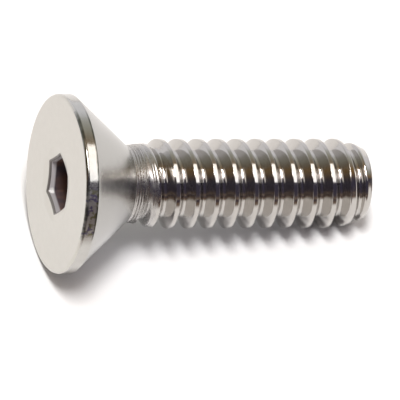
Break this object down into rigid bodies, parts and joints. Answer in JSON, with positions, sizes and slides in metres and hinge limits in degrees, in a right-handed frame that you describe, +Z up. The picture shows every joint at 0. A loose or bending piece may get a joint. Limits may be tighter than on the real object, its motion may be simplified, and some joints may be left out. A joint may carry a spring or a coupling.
{
  "type": "countersunk socket screw",
  "caption": "Countersunk machine screw: flat 82 degree conical head with a hexagon socket, plain neck, rolled coarse thread to a chamfered point, lying at rest.",
  "frame": {"origin": "on the surface the screw lies on, under the middle of its box", "axes": "+Z up; +X from the head towards the point, the axis dipping 9.2 degrees because the screw lies on the rim of its head and on two thread crests near the point; +Y across"},
  "size_m": [0.013, 0.0068, 0.0068],
  "materials": {
    "steel": "bright rolled stainless steel, near mirror with fine scratches"
  },
  "bodies": {
    "root": {"screw": "steel"}
  },
  "joints": []
}
